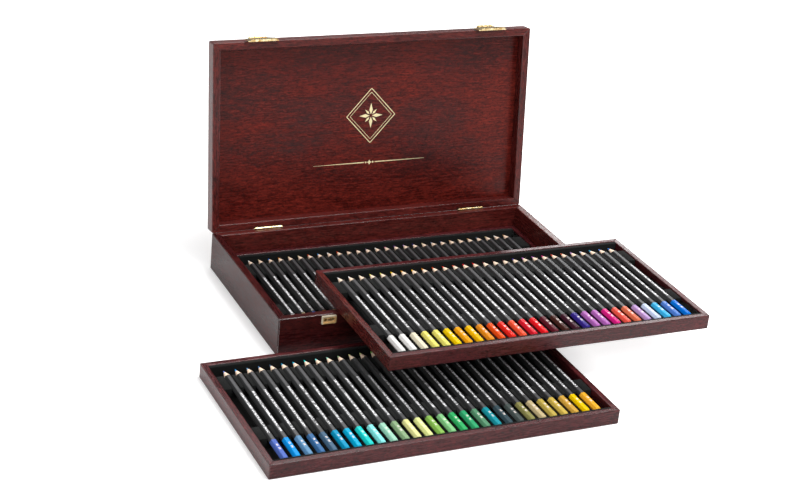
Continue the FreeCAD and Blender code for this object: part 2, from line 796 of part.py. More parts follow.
def casing_master(doc, s):
    """A sharpened hexagonal pencil without its lead, along +Y, a flat on top."""
    body = make_body(doc, "casing_master")
    radius = corner_radius(s)
    flat = s.pencil_flats / 2
    casing_end = pencil_length(s) - s.lead_radius * s.pencil_cone / radius
    cone_start = pencil_length(s) - s.pencil_cone
    section = make_sketch(body, "XZ_Plane")
    corners = [
        (radius, 0),
        (radius / 2, flat),
        (-radius / 2, flat),
        (-radius, 0),
        (-radius / 2, -flat),
        (radius / 2, -flat),
    ]
    draw_outline(section, corners)
    pad(body, section, casing_end, backwards=True)
    clear = radius + BEYOND
    waste = make_sketch(body, "YZ_Plane")
    cone = [(cone_start, radius), (casing_end, s.lead_radius), (casing_end, clear),
            (cone_start, clear)]
    draw_outline(waste, cone)
    bevel = s.pencil_end_round
    draw_outline(waste, [(0, radius - bevel), (bevel, radius), (bevel, clear), (0, clear)])
    turn(body, "Groove", waste, "Y_Axis")
    bore = make_sketch(body, "YZ_Plane")
    draw_rectangle(bore, s.cap_thick, 0, casing_end, s.lead_radius + s.lead_fit)
    turn(body, "Groove", bore, "Y_Axis")
    return body


def lead_master(doc, s):
    """The lead, along +Y, sharpened with the wood."""
    body = make_body(doc, "lead_master")
    slope = s.pencil_cone / corner_radius(s)
    length = pencil_length(s)
    profile = make_sketch(body, "YZ_Plane")
    points = [
        (s.cap_thick, 0),
        (length - s.lead_point * slope, 0),
        (length - s.lead_point * slope, s.lead_point),
        (length - s.lead_radius * slope, s.lead_radius),
        (s.cap_thick, s.lead_radius),
    ]
    draw_outline(profile, points)
    turn(body, "Revolution", profile, "Y_Axis")
    return body


# ---- trays

class Tray:
    """Where a tray stands and how its row of pencils is spaced."""

    def __init__(self, name, x, y, z, yaw, room_left, room_right):
        self.name = name
        self.x = as_size(x)
        self.y = as_size(y)
        self.z = as_size(z)
        self.yaw = as_size(yaw)
        self.room_left = room_left
        self.room_right = room_right

    def formula(self):
        return placement_formula(self.x, self.y, self.z, "0; 0; 1", self.yaw)

    def place(self):
        return moved(self.x.value, self.y.value, self.z.value, Z_AXIS, self.yaw.value)

    def row(self, frame):
        """From the axis of the first pencil to that of the last."""
        return frame.inner_width() - self.room_left - self.room_right

    def first(self, frame):
        """The axis of the first pencil, from the middle of the tray."""
        return self.room_left - frame.inner_width() / 2


def tray_frame(s):
    width = s.case_width - (s.case_wall + s.tray_gap) * 2
    depth = s.case_depth - (s.case_wall + s.tray_gap) * 2
    return Frame(width, depth, s.tray_wall, s.tray_height, s.tray_corner, s.tray_edge,
                 s.tray_base_thick, s.tray_rebate, s.panel_gap)


def tray_list(s):
    frame = tray_frame(s)
    half_x = frame.width / 2
    half_y = frame.depth / 2
    case_x = s.case_width / 2
    case_y = s.case_depth / 2
    upper_x = case_x + s.upper_tray_beyond - half_x
    upper_y = s.upper_tray_inside - case_y - half_y
    front_x = half_x - case_x - s.front_tray_beyond
    front_y = -(case_y + s.front_tray_ahead + half_y)
    return [
        Tray("lower", 0, 0, s.floor_thick, 0, s.lower_room_left, s.lower_room_right),
        Tray("upper", upper_x, upper_y, s.case_height, 0, s.row_room, s.row_room),
        Tray("front", front_x, front_y, 0, s.front_tray_yaw, s.row_room, s.row_room),
    ]


def liner(doc, label, s, frame):
    """The flocked liner: a floor with a rim along the front and the rear rail."""
    body = make_body(doc, label)
    front = -frame.inner_depth() / 2
    rear = frame.inner_depth() / 2
    low = s.tray_base_thick
    floor = low + s.liner_floor
    top = s.tray_height - s.liner_drop
    profile = make_sketch(body, "YZ_Plane")
    points = [
        (front, low),
        (rear, low),
        (rear, top),
        (rear - s.liner_rear_rim, top),
        (rear - s.liner_rear_rim, floor),
        (front + s.liner_front_rim, floor),
        (front + s.liner_front_rim, top),
        (front, top),
    ]
    draw_outline(profile, points)
    pad(body, profile, frame.inner_width(), both_ways=True)
    return body


def comb(doc, label, s, frame, tray, front, length):
    """A flocked bar across the tray with a slot for each pencil."""
    body = make_body(doc, label)
    low = s.tray_base_thick + s.liner_floor
    top = s.tray_height - s.comb_drop
    profile = make_sketch(body, "YZ_Plane")
    draw_rectangle(profile, front, low, front + length, top)
    pad(body, profile, frame.inner_width(), both_ways=True)
    first = tray.first(frame)
    half_slot = corner_radius(s) + s.slot_gap
    slot_floor = s.tray_height - s.pencil_flats
    slot = make_sketch(body, "XZ_Plane")
    draw_rectangle(slot, first - half_slot, slot_floor, first + half_slot, top + BEYOND)
    cut = pocket(body, slot)
    repeat(body, cut, "X_Axis", tray.row(frame), s.pencil_count)
    return body


def row_spots(s, frame, tray):
    """The dipped end of each pencil of a tray, at its axis, in the tray's coordinates."""
    count = int(s.pencil_count.value)
    first = tray.first(frame).value
    pitch = tray.row(frame).value / (count - 1)
    y = s.pencil_front.value - frame.depth.value / 2
    z = s.tray_height.value - s.pencil_flats.value / 2
    return [moved(first + number * pitch, y, z) for number in range(count)]


def make_tray(doc, s, tray, casing, lead):
    frame = tray_frame(s)
    name = f"{tray.name}_tray"
    nodes = [rail(doc, f"{name}_{side}", side, frame) for side in SIDES]
    nodes.append(panel(doc, f"{name}_base", frame))
    nodes.append(liner(doc, f"{name}_liner", s, frame))
    front = s.front_comb_start - frame.depth / 2
    rear = frame.depth / 2 - s.rear_comb_end - s.rear_comb_length
    nodes.append(comb(doc, f"{name}_front_comb", s, frame, tray, front, s.front_comb_length))
    nodes.append(comb(doc, f"{name}_rear_comb", s, frame, tray, rear, s.rear_comb_length))
    for node in nodes:
        place(node, tray.formula())
    spots = row_spots(s, frame, tray)
    nodes.append(copies(doc, f"{tray.name}_pencil_casings", casing, spots, tray.place()))
    nodes.append(copies(doc, f"{tray.name}_pencil_leads", lead, spots, tray.place()))
    return nodes


# ---- the whole case

def make_nodes(doc, s):
    screw = screw_master(doc, s)
    casing = casing_master(doc, s)
    lead = lead_master(doc, s)
    doc.recompute()
    nodes = make_case(doc, s) + make_lid(doc, s)
    nodes += make_hinges(doc, s, screw)
    nodes += make_latches(doc, s, screw)
    for tray in tray_list(s):
        nodes += make_tray(doc, s, tray, casing, lead)
    return nodes


def check(doc, nodes):
    """Stops with a plain message if anything failed to build."""
    for item in doc.Objects:
        if "Invalid" in item.State or "Error" in item.State:
            raise RuntimeError(f"{item.Label} failed to build")
    for node in nodes:
        if node.Shape.isNull() or not node.Shape.isValid() or not node.Shape.Solids:
            raise RuntimeError(f"{node.Label} has no valid solid")


def main():
    doc = FreeCAD.newDocument("pencil_case")
    sizes = Sizes(make_sheet(doc))
    nodes = make_nodes(doc, sizes)
    doc.recompute()
    check(doc, nodes)
    os.makedirs("parts", exist_ok=True)
    for node in nodes:
        node.Shape.exportStep(os.path.join("parts", f"{node.Label}.step"))
        print(f"{node.Label}: {len(node.Shape.Solids)} solids")


main()
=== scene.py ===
import json
import math

import bmesh
import bpy
from mathutils import Matrix, Vector


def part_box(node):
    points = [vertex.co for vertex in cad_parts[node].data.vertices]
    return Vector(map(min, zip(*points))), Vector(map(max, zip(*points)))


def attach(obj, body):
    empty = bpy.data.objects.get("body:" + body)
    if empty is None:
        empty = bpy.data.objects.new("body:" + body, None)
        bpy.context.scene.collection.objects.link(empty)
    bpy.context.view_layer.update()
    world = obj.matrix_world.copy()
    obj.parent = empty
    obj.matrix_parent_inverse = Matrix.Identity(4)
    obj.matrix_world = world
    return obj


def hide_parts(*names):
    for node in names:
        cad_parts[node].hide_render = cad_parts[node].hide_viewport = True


# A wooden three-tray pencil case: mahogany, brass fittings, black flocked liners and 84
# coloured pencils. Everything is in metres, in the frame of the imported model.

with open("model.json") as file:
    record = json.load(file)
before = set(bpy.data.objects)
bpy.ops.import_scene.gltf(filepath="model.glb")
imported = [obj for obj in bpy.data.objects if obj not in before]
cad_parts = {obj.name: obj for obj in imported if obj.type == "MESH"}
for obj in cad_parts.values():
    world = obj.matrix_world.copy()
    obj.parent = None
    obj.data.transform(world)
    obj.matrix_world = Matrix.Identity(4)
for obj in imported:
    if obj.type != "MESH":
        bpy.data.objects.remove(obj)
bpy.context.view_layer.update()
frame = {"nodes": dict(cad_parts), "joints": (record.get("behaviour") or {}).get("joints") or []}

MM = 0.001
TRAYS = ["lower", "upper", "front"]
SIDES = ["front", "back", "left", "right"]
LONG_SIDES = ["front", "back"]
FRONT_TRAY_YAW = math.radians(0.45)

# The pencil, from its dipped end at y = 0 to its point.
PENCIL_COUNT = 28
PENCIL_LENGTH = 178 * MM
FLATS = 7 * MM
CORNER_ROUND = 0.9 * MM
FLAT_MARGIN = 0.3 * MM
CONE_LENGTH = 16.8 * MM
LEAD_RADIUS = 1.4 * MM
POINT_RADIUS = 0.3 * MM
CAP_LENGTH = 33 * MM
CAP_PROUD = 0.07 * MM
PRINT_START = {"front": 45, "upper": 45, "lower": 35}
PRINT_END = 125
CORNER_RADIUS = FLATS / math.sqrt(3)
CONE_SLOPE = CONE_LENGTH / CORNER_RADIUS

# Softened edges: the flocked liners, and the sanded wood in its shading alone.
FLOCK_ROUND = 0.5 * MM
EDGE_ROUND = 1.4 * MM

# The gold line ornament on the lid panel, in the closed lid's coordinates.
FOIL_THICK = 0.04 * MM
LOZENGE_MIDDLE = -123 * MM
LOZENGE_HALF_WIDTH = 31 * MM
LOZENGE_HALF_HEIGHT = 33 * MM
FLOURISH_MIDDLE = -66 * MM
FLOURISH_HALF_WIDTH = 72 * MM

# The view: 800 x 500, long lens, slightly rolled.
VIEW_WIDTH = 800
FOCAL_PIXELS = 1757.1
SENSOR = 36.0
CAMERA_PLACE = Vector((-0.82778, -1.63023, 0.89408))
CAMERA_FORWARD = Vector((0.40601, 0.81239, -0.41855))
CAMERA_RIGHT = Vector((0.90903, -0.40609, 0.09359))


# ---- colours

def srgb(red, green, blue):
    """A colour written in the usual 0 to 255 steps, as the linear values that shaders use."""
    linear = []
    for step in (red, green, blue):
        share = step / 255
        linear.append(share / 12.92 if share <= 0.04045 else ((share + 0.055) / 1.055) ** 2.4)
    return (*linear, 1.0)


PENCIL_COLOURS = {
    "white": (248, 246, 243),
    "ivory": (245, 236, 208),
    "cream": (228, 208, 164),
    "pale lemon": (244, 234, 120),
    "pale yellow": (248, 244, 168),
    "lime yellow": (240, 248, 165),
    "yellow": (255, 212, 0),
    "golden yellow": (255, 196, 0),
    "golden orange": (252, 172, 18),
    "apricot": (252, 184, 50),
    "ochre": (218, 188, 86),
    "dark ochre": (202, 178, 85),
    "orange ochre": (222, 174, 72),
    "pale ochre": (208, 188, 142),
    "orange": (238, 148, 28),
    "vermilion": (245, 88, 54),
    "red orange": (240, 84, 20),
    "scarlet": (236, 40, 28),
    "red": (224, 30, 48),
    "bright red": (240, 26, 36),
    "maroon": (98, 26, 40),
    "brown": (74, 38, 32),
    "aubergine": (68, 28, 44),
    "indigo": (56, 40, 138),
    "orchid": (184, 106, 188),
    "purple": (110, 60, 140),
    "magenta": (224, 32, 132),
    "coral": (244, 92, 76),
    "salmon": (228, 118, 84),
    "lilac": (190, 152, 210),
    "ice blue": (208, 222, 248),
    "sky blue": (62, 184, 236),
    "mid blue": (86, 132, 214),
    "azure": (6, 184, 226),
    "pure blue": (0, 118, 220),
    "ultramarine": (90, 118, 205),
    "bright blue": (12, 160, 242),
    "steel blue": (105, 155, 196),
    "deep blue": (64, 115, 168),
    "slate navy": (78, 110, 138),
    "cerulean": (8, 160, 205),
    "turquoise": (30, 222, 216),
    "aqua": (145, 242, 240),
    "mint": (170, 226, 200),
    "sage": (150, 184, 138),
    "leaf green": (145, 198, 92),
    "light green": (142, 212, 144),
    "green": (56, 186, 108),
    "emerald": (54, 174, 116),
    "fir green": (95, 152, 116),
    "teal": (30, 158, 172),
    "dark slate": (62, 82, 90),
    "bottle green": (78, 88, 86),
    "olive": (148, 144, 86),
    "tan": (196, 150, 105),
    "grey violet": (120, 105, 135),
    "blue grey": (130, 145, 165),
    "dark blue": (35, 50, 110),
    "pink": (225, 130, 160),
}

PENCIL_ROWS = {
    "front": [
        "ultramarine", "bright blue", "steel blue", "deep blue", "slate navy", "cerulean", "azure",
        "turquoise", "aqua", "mint", "sage", "pale yellow", "lime yellow", "leaf green",
        "light green", "green", "emerald", "fir green", "teal", "dark slate", "bottle green",
        "olive", "pale ochre", "dark ochre", "ochre", "orange ochre", "yellow", "apricot",
    ],
    "upper": [
        "white", "white", "ivory", "pale lemon", "pale lemon", "yellow", "golden orange",
        "golden yellow", "orange", "red orange", "scarlet", "vermilion", "red", "bright red",
        "maroon", "brown", "aubergine", "indigo", "orchid", "orchid", "magenta",
        "coral", "salmon", "lilac", "ice blue", "sky blue", "mid blue", "pure blue",
    ],
    "lower": [
        "white", "cream", "pure blue", "orange", "cream", "cream", "red orange",
        "bright blue", "white", "red orange", "brown", "maroon", "grey violet", "white",
        "pink", "purple", "lilac", "indigo", "cream", "blue grey", "dark blue",
        "tan", "cream", "tan", "blue grey", "cream", "white", "tan",
    ],
}


# ---- shader helpers

def new_material(name):
    material = bpy.data.materials.new(name)
    material.use_nodes = True
    return material, material.node_tree, material.node_tree.nodes["Principled BSDF"]


def add(tree, kind, values=None, **settings):
    """A node with its properties set, its inputs set or linked by name or index."""
    node = tree.nodes.new(kind)
    for name, setting in settings.items():
        setattr(node, name, setting)
    for key, value in (values or {}).items():
        if isinstance(value, bpy.types.NodeSocket):
            tree.links.new(value, node.inputs[key])
        else:
            node.inputs[key].default_value = value
    return node


def maths(tree, operation, first, second=0.0):
    return add(tree, "ShaderNodeMath", {0: first, 1: second}, operation=operation).outputs[0]


def stretch(tree, vector, factors):
    """A vector's three parts, each times its factor."""
    node = add(tree, "ShaderNodeVectorMath", {0: vector, 1: factors}, operation="MULTIPLY")
    return node.outputs[0]


def noise(tree, vector, scale, detail=2.0, roughness=0.5):
    values = {"Vector": vector, "Scale": scale, "Detail": detail, "Roughness": roughness}
    return add(tree, "ShaderNodeTexNoise", values).outputs["Fac"]


def span(tree, value, low, high, to_low=0.0, to_high=1.0):
    """A value mapped from one range to another, and kept within it."""
    values = {"Value": value, 1: low, 2: high, 3: to_low, 4: to_high}
    return add(tree, "ShaderNodeMapRange", values).outputs[0]


def mix_colours(tree, share, first, second, blend_type="MIX"):
    values = {0: share, 6: first, 7: second}
    node = add(tree, "ShaderNodeMix", values, data_type="RGBA", blend_type=blend_type)
    return node.outputs[2]


def object_place(tree):
    return add(tree, "ShaderNodeTexCoord").outputs["Object"]


def bump(tree, height, distance, strength=1.0, normal=None):
    values = {"Height": height, "Distance": distance, "Strength": strength}
    if normal is not None:
        values["Normal"] = normal
    return add(tree, "ShaderNodeBump", values).outputs["Normal"]


def set_shader(shader, **values):
    """Constants on the shader's own sockets, named with underscores for spaces."""
    for name, value in values.items():
        shader.inputs[name.replace("_", " ")].default_value = value


# ---- mahogany

def grain_group():
    """Stained mahogany, its grain along X once the coordinates are turned."""
    tree = bpy.data.node_groups.new("mahogany grain", "ShaderNodeTree")
    for name, kind in [("Turn", "NodeSocketVector"), ("Shift", "NodeSocketVector"),
                       ("Dark", "NodeSocketColor"), ("Middle", "NodeSocketColor"),
                       ("Light", "NodeSocketColor")]:
        tree.interface.new_socket(name, in_out="INPUT", socket_type=kind)
    for name, kind in [("Colour", "NodeSocketColor"), ("Roughness", "NodeSocketFloat"),
                       ("Height", "NodeSocketFloat")]:
        tree.interface.new_socket(name, in_out="OUTPUT", socket_type=kind)
    given = tree.nodes.new("NodeGroupInput").outputs
    values = {"Vector": object_place(tree), "Rotation": given["Turn"], "Location": given["Shift"]}
    place = add(tree, "ShaderNodeMapping", values).outputs[0]
    figure = noise(tree, stretch(tree, place, (9, 24, 24)), 1.0, 3.0)
    polish = span(tree, figure, 0.35, 0.65, -0.07, 0.07)
    mottle = noise(tree, stretch(tree, place, (230, 560, 560)), 1.0, 4.0, 0.7)
    fibres = noise(tree, stretch(tree, place, (80, 620, 620)), 1.0, 2.0)
    flecks = noise(tree, stretch(tree, place, (280, 900, 900)), 1.0, 1.0)
    tone = maths(tree, "ADD", maths(tree, "MULTIPLY", figure, 0.35),
                 maths(tree, "MULTIPLY", mottle, 0.65))
    lower_half = span(tree, tone, 0.36, 0.5)
    upper_half = span(tree, tone, 0.5, 0.64)
    colour = mix_colours(tree, lower_half, given["Dark"], given["Middle"])
    colour = mix_colours(tree, upper_half, colour, given["Light"])
    fibre_shade = span(tree, fibres, 0.3, 0.7, 0.55, 1.45)
    shade = add(tree, "ShaderNodeCombineColor", {0: fibre_shade, 1: fibre_shade, 2: fibre_shade})
    colour = mix_colours(tree, 1.0, colour, shade.outputs[0], "MULTIPLY")
    pores = span(tree, flecks, 0.56, 0.70)
    colour = mix_colours(tree, maths(tree, "MULTIPLY", pores, 0.75), colour, PORE_COLOUR)
    result = tree.nodes.new("NodeGroupOutput").inputs
    tree.links.new(colour, result["Colour"])
    roughness = maths(tree, "ADD", span(tree, fibres, 0.3, 0.7, 0.24, 0.34), polish)
    tree.links.new(roughness, result["Roughness"])
    height = maths(tree, "SUBTRACT", maths(tree, "MULTIPLY", fibres, 0.4), pores)
    tree.links.new(height, result["Height"])
    return tree


PORE_COLOUR = (0.006, 0.002, 0.002, 1)
# Each group's tones are partly painted light: the case's darker tones stand in for the shade on its
# faces, the lid rails' lighter ones for more light.
MAHOGANY_TONES = {
    "case": [srgb(36, 8, 10), srgb(52, 14, 15), srgb(70, 22, 20)],
    "rail": [srgb(58, 18, 17), srgb(82, 27, 24), srgb(104, 38, 33)],
    "panel": [srgb(50, 11, 10), srgb(84, 22, 17), srgb(112, 36, 27)],
    "tray": [srgb(50, 15, 18), srgb(72, 25, 28), srgb(92, 37, 38)],
}
GRAIN_GLOSS = {"case": 0.13, "rail": 0.24, "panel": 0.16, "tray": 0.26}
EDGE_POLISH = {"case": 1.0, "rail": 0.3, "panel": 0.0, "tray": 0.25}
# Pieces given another group's tones: the lid panel's redder board, and painted light on the case back,
# case right and upper tray left, lighter to make up for the lamp light those faces lack.
LIGHTER_PIECES = {"lid_panel": "panel", "case_back": "rail", "case_right": "rail",
                  "upper_tray_left": "rail"}


def mahogany(name, tones, turn, shift, grain):
    material, tree, shader = new_material(name)
    dark, middle, light = MAHOGANY_TONES[tones]
    group = add(tree, "ShaderNodeGroup", node_tree=grain)
    for socket, value in [("Turn", turn), ("Shift", shift), ("Dark", dark), ("Middle", middle),
                          ("Light", light)]:
        group.inputs[socket].default_value = value
    tree.links.new(group.outputs["Colour"], shader.inputs["Base Color"])
    tree.links.new(group.outputs["Roughness"], shader.inputs["Roughness"])
    rounded = add(tree, "ShaderNodeBevel", {"Radius": EDGE_ROUND}).outputs[0]
    normal = bump(tree, group.outputs["Height"], 0.05 * MM, 0.5, rounded)
    tree.links.new(normal, shader.inputs["Normal"])
    facing = add(tree, "ShaderNodeNewGeometry").outputs["Normal"]
    turned = add(tree, "ShaderNodeVectorMath", {0: facing, 1: rounded}, operation="DOT_PRODUCT")
    polish = span(tree, turned.outputs["Value"], 0.99, 0.88, 0.0, EDGE_POLISH[tones])
    tree.links.new(polish, shader.inputs["Coat Weight"])
    tree.links.new(rounded, shader.inputs["Coat Normal"])
    set_shader(shader, Specular_IOR_Level=GRAIN_GLOSS[tones], Coat_IOR=2.4, Coat_Roughness=0.15)
    return material


def dress_wood(lid_turn):
    """Grain along each rail, and its own stretch of the wood for every piece."""
    grain = grain_group()
    across = math.radians(-90)
    count = 0
    groups = [("case", "case", 0), ("lid", "rail", lid_turn)]
    groups += [(f"{tray}_tray", "tray", 0) for tray in TRAYS]
    panels = {"case": "case_floor", "lid": "lid_panel"}
    for group, tones, tilt in groups:
        pieces = [(f"{group}_{side}", 0 if side in LONG_SIDES else across) for side in SIDES]
        pieces.append((panels.get(group, f"{group}_base"), 0))
        for node, about in pieces:
            count += 1
            shift = (0.37 * count, 0.11 * count, 0.07 * count)
            stain_and_painted_light = LIGHTER_PIECES.get(node, tones)
            paint(node, mahogany(f"mahogany {node}", stain_and_painted_light, (tilt, 0, about), shift, grain))


def paint(node, material):
    materials = frame["nodes"][node].data.materials
    materials.clear()
    materials.append(material)


# ---- brass

CATCH_SHAPE = 17.0 / 9.5
# Painted shade: the dark brown mixed into the brass where ambient occlusion finds nearby parts.
PAINTED_CREVICE_SHADE = srgb(66, 46, 26)
# The catch's hollow, darkened as painted shade, as its middle and its reach from the catch's middle, and
# its rim, lit up as a painted highlight.
HOLLOW_ASIDE = (2.4 * MM, 4.6 * MM)
HOLLOW_UP = (-0.3 * MM, 1.6 * MM)
RIM_HIGHLIGHT_ASIDE = (-6.2 * MM, -7.2 * MM)
RIM_HIGHLIGHT_UP = (2.9 * MM, 3.7 * MM)


def brass():
    material, tree, shader = new_material("polished brass")
    place = object_place(tree)
    smudges = noise(tree, place, 260, 3.0)
    scratches = noise(tree, stretch(tree, place, (300, 2600, 2600)), 1.0, 2.0)
    colour = mix_colours(tree, span(tree, smudges, 0.38, 0.62), srgb(190, 150, 84),
                         srgb(246, 230, 186))
    # Painted shade in crevices and between parts, driven by the ambient occlusion.
    open_share = add(tree, "ShaderNodeAmbientOcclusion", {"Distance": 4 * MM}).outputs["AO"]
    colour = mix_colours(tree, span(tree, open_share, 0.35, 0.8), PAINTED_CREVICE_SHADE, colour)
    tree.links.new(colour, shader.inputs["Base Color"])
    tree.links.new(span(tree, scratches, 0.3, 0.7, 0.16, 0.30), shader.inputs["Roughness"])
    tree.links.new(bump(tree, smudges, 0.12 * MM, 0.35), shader.inputs["Normal"])
    set_shader(shader, Metallic=1.0)
    return material


def stamped_brass():
    """The catches' thin pressed plate: pale brass with a hollow like a leaf, darkened as painted shade,
    and a painted highlight on its rim.
    """
    material, tree, shader = new_material("stamped brass")
    place = object_place(tree)
    low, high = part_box("catches")
    parts = add(tree, "ShaderNodeSeparateXYZ", {0: place}).outputs
    catch_middle = high.x - (high.z - low.z) * CATCH_SHAPE / 2
    aside = maths(tree, "SUBTRACT", maths(tree, "ABSOLUTE", parts[0]), catch_middle)
    aside = maths(tree, "MULTIPLY", aside, maths(tree, "SIGN", parts[0]))
    height = maths(tree, "SUBTRACT", parts[2], (low.z + high.z) / 2)
    leaf = maths(tree, "ADD", square_share(tree, aside, *HOLLOW_ASIDE),
                 square_share(tree, height, *HOLLOW_UP))
    rim = maths(tree, "MAXIMUM", span(tree, aside, *RIM_HIGHLIGHT_ASIDE), span(tree, height, *RIM_HIGHLIGHT_UP))
    hollow = span(tree, leaf, 0.55, 1.25, 1.0, 0.0)
    smudges = noise(tree, place, 700, 3.0)
    colour = mix_colours(tree, smudges, srgb(214, 166, 104), srgb(244, 214, 160))
    # Painted shade: a dark brown in the hollow.
    colour = mix_colours(tree, maths(tree, "MULTIPLY", hollow, 0.85), colour, srgb(88, 58, 34))
    # Painted highlight: a near-white along the rim.
    colour = mix_colours(tree, rim, colour, srgb(255, 244, 214))
    tree.links.new(colour, shader.inputs["Base Color"])
    relief = maths(tree, "SUBTRACT", maths(tree, "MULTIPLY", smudges, 0.3), hollow)
    tree.links.new(bump(tree, relief, 0.5 * MM, 0.8), shader.inputs["Normal"])
    set_shader(shader, Metallic=0.45, Roughness=0.25)
    return material


def square_share(tree, value, middle, reach):
    """How far a value is from its middle, squared, with 1 at its reach."""
    share = maths(tree, "DIVIDE", maths(tree, "SUBTRACT", value, middle), reach)
    return maths(tree, "MULTIPLY", share, share)


def dress_brass():
    paint("catches", stamped_brass())
    material = brass()
    for node in ["hinge_leaves_case", "hinge_pins", "hinge_screws_case", "hinge_leaves_lid",
                 "hinge_screws_lid", "latch_lever_left", "latch_lever_right", "latch_plates",
                 "latch_pins", "latch_screws", "catch_screws"]:
        paint(node, material)


# ---- flocked liners

def flock():
    material, tree, shader = new_material("black flock")
    place = object_place(tree)
    tufts = noise(tree, place, 2400, 2.0, 0.7)
    patches = noise(tree, place, 60, 3.0)
    nap = maths(tree, "MULTIPLY", tufts, span(tree, patches, 0.3, 0.7, 0.7, 1.3))
    colour = mix_colours(tree, nap, srgb(2, 2, 2), srgb(18, 20, 19))
    tree.links.new(colour, shader.inputs["Base Color"])
    tree.links.new(bump(tree, tufts, 0.25 * MM, 0.8), shader.inputs["Normal"])
    set_shader(shader, Roughness=0.95, Specular_IOR_Level=0.2, Sheen_Weight=0.06,
               Sheen_Roughness=0.5)
    return material


def flocked(node, body, material):
    """A copy of the plain solid with its edges rounded over by the flock."""
    mesh = bpy.data.meshes.new(f"{node}_flock")
    shape = bmesh.new()
    shape.from_mesh(frame["nodes"][node].data)
    bmesh.ops.remove_doubles(shape, verts=shape.verts, dist=0.001 * MM)
    bmesh.ops.dissolve_limit(shape, angle_limit=math.radians(1), verts=shape.verts,
                             edges=shape.edges)
    shape.to_mesh(mesh)
    shape.free()
    piece = bpy.data.objects.new(f"{node}_flock", mesh)
    bpy.context.scene.collection.objects.link(piece)
    rounding = piece.modifiers.new("rounding", "BEVEL")
    rounding.width = FLOCK_ROUND
    rounding.segments = 2
    rounding.limit_method = "ANGLE"
    settle(piece)
    piece.data.materials.clear()
    piece.data.materials.append(material)
    smooth(piece.data, 35)
    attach(piece, body)
    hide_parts(node)
    return piece


def settle(piece):
    """Turns a piece and its modifiers into a plain mesh."""
    depsgraph = bpy.context.evaluated_depsgraph_get()
    mesh = bpy.data.meshes.new_from_object(piece.evaluated_get(depsgraph))
    piece.modifiers.clear()
    piece.data = mesh


def smooth(mesh, angle):
    mesh.shade_smooth()
    mesh.set_sharp_from_angle(angle=math.radians(angle))


def dress_flock():
    material = flock()
    for tray in TRAYS:
        for part in ["liner", "front_comb", "rear_comb"]:
            flocked(f"{tray}_tray_{part}", f"{tray}_tray", material)


# ---- pencils

def hexagon_columns():
    """The section's outline, (x, z), a flat on top: rounded corners and a middle in each flat."""
    flat = FLATS / 2
    centre = (flat - CORNER_ROUND) / math.cos(math.radians(30))
    half_side = flat * math.tan(math.radians(30)) - CORNER_ROUND * math.tan(math.radians(30))
    columns = []
    for corner in range(6):
        towards = math.radians(60 * corner)
        middle = Vector((centre * math.cos(towards), centre * math.sin(towards)))
        for turn in (-30, 0, 30):
            angle = towards + math.radians(turn)
            columns.append(middle + CORNER_ROUND * Vector((math.cos(angle), math.sin(angle))))
        normal = towards + math.radians(30)
        along = Vector((-math.sin(normal), math.cos(normal)))
        foot = flat * Vector((math.cos(normal), math.sin(normal)))
        for share in (-half_side + FLAT_MARGIN, 0, half_side - FLAT_MARGIN):
            columns.append(foot + along * share)
    return columns


COLUMNS = hexagon_columns()
TOP_COLUMN = 10
SILVER = srgb(240, 240, 242)
CAP_SILVER = srgb(232, 220, 214)
FIRST_DASH = (21.0, 24.5)
SECOND_DASH = (14.0, 18.0)


def skin(name, rings, close_start=False, close_end=False):
    """A tube through rings of points, with a unit 'around' and 'along' in its UV map."""
    shape = bmesh.new()
    uv_layer = shape.loops.layers.uv.new("barrel")
    rows = [[shape.verts.new(point) for point in ring] for ring in rings]
    count = len(rings[0])
    for row, following in zip(rows, rows[1:]):
        for index in range(count):
            after = (index + 1) % count
            face = shape.faces.new((row[index], following[index], following[after], row[after]))
            for loop, column in zip(face.loops, (index, index, index + 1, index + 1)):
                loop[uv_layer].uv = (column / count, loop.vert.co.y / PENCIL_LENGTH)
    if close_start:
        shape.faces.new(rows[0])
    if close_end:
        shape.faces.new(list(reversed(rows[-1])))
    bmesh.ops.recalc_face_normals(shape, faces=shape.faces)
    mesh = bpy.data.meshes.new(name)
    shape.to_mesh(mesh)
    shape.free()
    smooth(mesh, 42)
    piece = bpy.data.objects.new(name, mesh)
    bpy.context.scene.collection.objects.link(piece)
    return piece


def ring(y, proud=0.0, share=1.0):
    """The hexagon at a place along the pencil, standing proud or shrunk by a share."""
    points = []
    for column in COLUMNS:
        out = column * share + column.normalized() * proud
        points.append((out.x, y, out.y))
    return points


def cone_ring(radius):
    """The cone where it has this radius, or the scalloped edge where it meets the flats."""
    points = []
    for column in COLUMNS:
        reach = min(radius, column.length)
        out = column.normalized() * reach
        points.append((out.x, PENCIL_LENGTH - reach * CONE_SLOPE, out.y))
    return points


def pencil_parts():
    """One pencil in four parts: barrel, dipped cap, bare cedar and lead."""
    edge = CAP_LENGTH
    cap = [ring(0.02 * MM, 0, 0.62), ring(0.2 * MM, 0, 0.8), ring(0.7 * MM, 0, 0.93),
           ring(1.6 * MM, CAP_PROUD, 0.985), ring(2.6 * MM, CAP_PROUD), ring(edge - 1.2 * MM, CAP_PROUD),
           ring(edge - 0.3 * MM, CAP_PROUD * 1.3), ring(edge, 0)]
    barrel = [ring(edge - 0.5 * MM), ring(edge + 2 * MM), ring(PENCIL_LENGTH * 0.6),
              cone_ring(CORNER_RADIUS)]
    middle = (FLATS / 2 + LEAD_RADIUS) / 2
    cedar = [cone_ring(CORNER_RADIUS), cone_ring(middle), cone_ring(LEAD_RADIUS)]
    lead = [cone_ring(LEAD_RADIUS), cone_ring(LEAD_RADIUS * 0.6), cone_ring(POINT_RADIUS)]
    return {
        "caps": skin("cap master", cap, close_start=True),
        "barrels": skin("barrel master", barrel),
        "cedar": skin("cedar master", cedar),
        "points": skin("point master", lead, close_end=True),
    }


